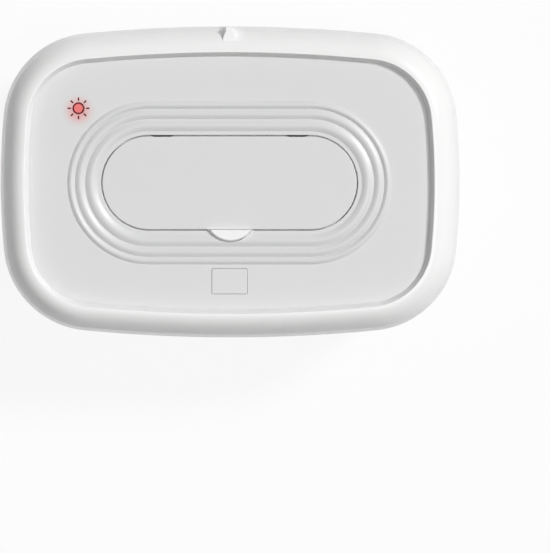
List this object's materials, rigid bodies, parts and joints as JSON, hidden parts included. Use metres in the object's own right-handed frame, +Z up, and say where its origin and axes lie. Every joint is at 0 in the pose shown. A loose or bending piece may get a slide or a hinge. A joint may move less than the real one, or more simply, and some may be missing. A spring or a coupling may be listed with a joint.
{
  "type": "baby wipe warmer",
  "caption": "Tabletop baby wipe warmer: a drafted tub under a hinged, heated lid with a pop-up dispensing flap, a half-moon release button and a flush power key.",
  "frame": {"origin": "middle of the surface that the warmer stands on, under the middle of its outline", "axes": "+X along the long side to the right, +Y to the hinged rear, +Z up"},
  "size_m": [0.242, 0.164, 0.12],
  "materials": {
    "white_gloss": "glossy moulded white",
    "white_satin": "satin moulded white",
    "grey_satin": "satin light grey",
    "silicone": "matt translucent grey",
    "dark_rubber": "matt dark grey",
    "steel": "zinc plated",
    "aluminium": "plain rolled",
    "heater_film": "amber film",
    "pad": "felted fibre",
    "board": "green lacquer",
    "black_plastic": "black moulded",
    "led_red": "clear red",
    "clear_plastic": "frosted"
  },
  "bodies": {
    "base": {"base_shell": "white_gloss", "wipes_tub": "white_satin", "foot_1": "dark_rubber", "foot_2": "dark_rubber", "foot_3": "dark_rubber", "foot_4": "dark_rubber", "base_screw_1": "steel", "base_screw_2": "steel", "base_screw_3": "steel", "base_screw_4": "steel", "main_hinge_pin_1": "steel", "main_hinge_pin_2": "steel"},
    "main_lid": {"lid_rim_cover": "white_gloss", "top_panel": "grey_satin", "lid_underside": "white_satin", "lid_seal": "silicone", "heater_plate": "aluminium", "heating_film": "heater_film", "insulation_pad": "pad", "thermostat": "black_plastic", "thermal_fuse": "steel", "dispenser_well": "white_satin", "dispensing_lip": "silicone", "flip_lid_seal": "silicone", "control_board": "board", "power_switch": "black_plastic", "indicator_board": "board", "indicator_led": "led_red", "light_pipe": "clear_plastic", "inlet_jack": "black_plastic", "lid_screw_1": "steel", "lid_screw_2": "steel", "lid_screw_3": "steel", "lid_screw_4": "steel", "lid_screw_5": "steel", "lid_screw_6": "steel", "flip_hinge_pin_1": "steel", "flip_hinge_pin_2": "steel", "flip_spring_1": "steel", "flip_spring_2": "steel", "release_spring": "steel", "power_key_spring": "steel"},
    "flip_lid": {"flip_lid": "grey_satin"},
    "release_button": {"release_button": "white_gloss"},
    "power_key": {"power_key": "grey_satin"}
  },
  "joints": [
    {"name": "main_lid_hinge", "type": "hinge", "parent": "base", "child": "main_lid", "pos_m": [0, 0.0774, 0.0876], "axis": [-1, 0, 0], "range_deg": [0, 95]},
    {"name": "flip_lid_hinge", "type": "hinge", "parent": "main_lid", "child": "flip_lid", "pos_m": [0, 0.0307, 0.1106], "axis": [-1, 0, 0], "range_deg": [0, 90]},
    {"name": "release_button_slide", "type": "slide", "parent": "main_lid", "child": "release_button", "axis": [0, 0, -1], "range_m": [0, 0.002], "stiffness_N_per_m": 400, "deforming": ["release_spring"]},
    {"name": "power_key_slide", "type": "slide", "parent": "main_lid", "child": "power_key", "axis": [0, 0, -1], "range_m": [0, 0.0008], "stiffness_N_per_m": 600, "deforming": ["power_key_spring"]}
  ]
}
